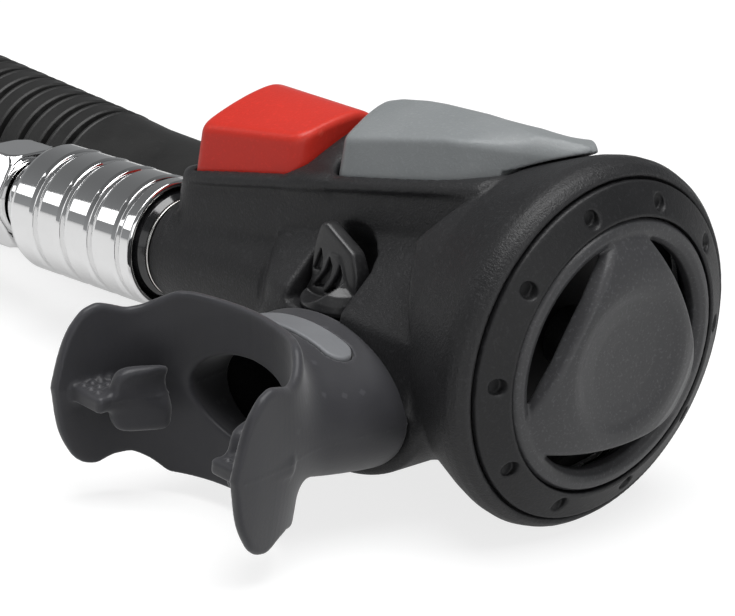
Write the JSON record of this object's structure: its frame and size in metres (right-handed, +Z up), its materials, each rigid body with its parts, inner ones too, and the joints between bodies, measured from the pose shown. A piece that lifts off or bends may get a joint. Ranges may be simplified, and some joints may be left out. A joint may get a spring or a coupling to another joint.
{
  "type": "power inflator with combined alternate-air second stage",
  "caption": "Hand-held buoyancy inflator joined to a demand-valve head, with inflate and deflate buttons, purge cover, mouthpiece, swivelling quick-release coupling and corrugated hose end.",
  "frame": {"origin": "centre of the whole assembly's bounding box at rest", "axes": "+X along the head axis, out through the purge cover; +Z up, towards the two buttons; -Y towards the diver, where the mouthpiece is"},
  "size_m": [0.224, 0.1046, 0.0694],
  "materials": {
    "black_plastic": "fine-grained satin nylon moulding",
    "cover_plastic": "smooth satin moulding",
    "red_plastic": "satin red moulding",
    "grey_plastic": "satin cool grey moulding",
    "silicone": "matt charcoal silicone",
    "silicone_grey": "matt grey silicone",
    "clear_silicone": "translucent silicone",
    "hose_rubber": "satin black rubber",
    "gloss_black": "polished black",
    "chrome": "bright polished chrome plate",
    "brass": "turned brass",
    "steel": "stainless steel",
    "nylon": "natural nylon",
    "seal_rubber": "black nitrile"
  },
  "bodies": {
    "housing": {"main_housing": "black_plastic", "cover_retaining_ring": "black_plastic", "purge_spring": "steel", "diaphragm_clamp_ring": "nylon", "diaphragm_membrane": "clear_silicone", "valve_barrel": "brass", "lever_pivot_pin": "steel", "valve_orifice": "steel", "orifice_o_ring": "seal_rubber", "spring_guide_washer": "steel", "poppet_spring": "steel", "barrel_end_cap": "nylon", "mouthpiece": "silicone", "mouthpiece_inlay": "silicone_grey", "exhaust_cover": "cover_plastic", "inflate_valve_bush": "brass", "inflate_bush_o_ring": "seal_rubber", "inflate_spring": "steel", "deflate_hinge_pin": "steel", "deflate_stem_guide": "nylon", "deflate_spring": "steel", "nipple_washer": "steel", "coupling_nipple": "chrome", "nipple_o_ring": "seal_rubber", "dust_collar": "gloss_black", "corrugated_hose": "hose_rubber"},
    "purge": {"purge_cover": "cover_plastic"},
    "diaphragm": {"diaphragm_plate": "nylon"},
    "lever": {"demand_lever": "steel"},
    "poppet_group": {"poppet": "nylon", "poppet_seat": "seal_rubber", "poppet_locknut": "steel"},
    "selector": {"selector_knob": "black_plastic", "selector_stem": "nylon", "selector_o_ring": "seal_rubber"},
    "inflate": {"inflate_button": "red_plastic", "inflate_stem": "steel", "inflate_seal": "seal_rubber"},
    "deflate": {"deflate_button": "grey_plastic"},
    "deflate_poppet": {"deflate_stem": "steel", "deflate_valve_disc": "seal_rubber"},
    "exhaust": {"exhaust_valve": "clear_silicone"},
    "coupling": {"coupling_core": "chrome", "locking_ball_1": "steel", "locking_ball_2": "steel", "locking_ball_3": "steel", "locking_ball_4": "steel", "sleeve_spring": "steel", "coupling_seal": "seal_rubber", "coupling_hex": "chrome", "hose_stem": "brass", "hose_ferrule": "chrome", "low_pressure_hose": "hose_rubber"},
    "sleeve": {"coupling_sleeve": "chrome"}
  },
  "joints": [
    {"name": "purge_press", "type": "slide", "parent": "housing", "child": "purge", "axis": [-1, 0, 0], "range_m": [0, 0.003], "deforming": ["purge_spring"]},
    {"name": "diaphragm_move", "type": "slide", "parent": "housing", "child": "diaphragm", "axis": [-1, 0, 0], "range_m": [0, 0.003], "deforming": ["diaphragm_membrane"]},
    {"name": "lever_swing", "type": "hinge", "parent": "housing", "child": "lever", "pos_m": [0.08985, 0.0317, -0.00065], "axis": [0, 0, -1], "range_deg": [0, 12.8]},
    {"name": "poppet_open", "type": "slide", "parent": "housing", "child": "poppet_group", "axis": [0, 1, 0], "range_m": [0, 0.0015], "deforming": ["poppet_spring"]},
    {"name": "selector_turn", "type": "hinge", "parent": "housing", "child": "selector", "pos_m": [0.06185, -0.0037, -0.00215], "axis": [0, 0, 1], "range_deg": [0, 60]},
    {"name": "inflate_press", "type": "slide", "parent": "housing", "child": "inflate", "axis": [0, 0, -1], "range_m": [0, 0.0035], "deforming": ["inflate_spring"]},
    {"name": "deflate_press", "type": "hinge", "parent": "housing", "child": "deflate", "pos_m": [0.09005, 0.01869, 0.02725], "axis": [0, -1, 0], "range_deg": [0, 5], "deforming": ["deflate_spring"]},
    {"name": "deflate_stem_drop", "type": "slide", "parent": "housing", "child": "deflate_poppet", "axis": [0, 0, -1], "range_m": [0, 0.0028]},
    {"name": "exhaust_lift", "type": "slide", "parent": "housing", "child": "exhaust", "axis": [0, 0, -1], "range_m": [0, 0.0012]},
    {"name": "coupling_swivel", "type": "hinge", "parent": "housing", "child": "coupling", "pos_m": [0.01405, 0.00269, -0.00785], "axis": [0.9957, 0, 0.0924], "continuous": true},
    {"name": "sleeve_pull", "type": "slide", "parent": "coupling", "child": "sleeve", "axis": [-0.9957, 0, -0.0924], "range_m": [0, 0.004], "deforming": ["sleeve_spring"]}
  ],
  "couplings": [
    {"joint": "diaphragm_move", "follows": "purge_press", "ratio": 1},
    {"joint": "lever_swing", "follows": "purge_press", "rad_per_m": 74},
    {"joint": "poppet_open", "follows": "purge_press", "ratio": 0.5},
    {"joint": "deflate_stem_drop", "follows": "deflate_press", "m_per_rad": 0.032}
  ]
}
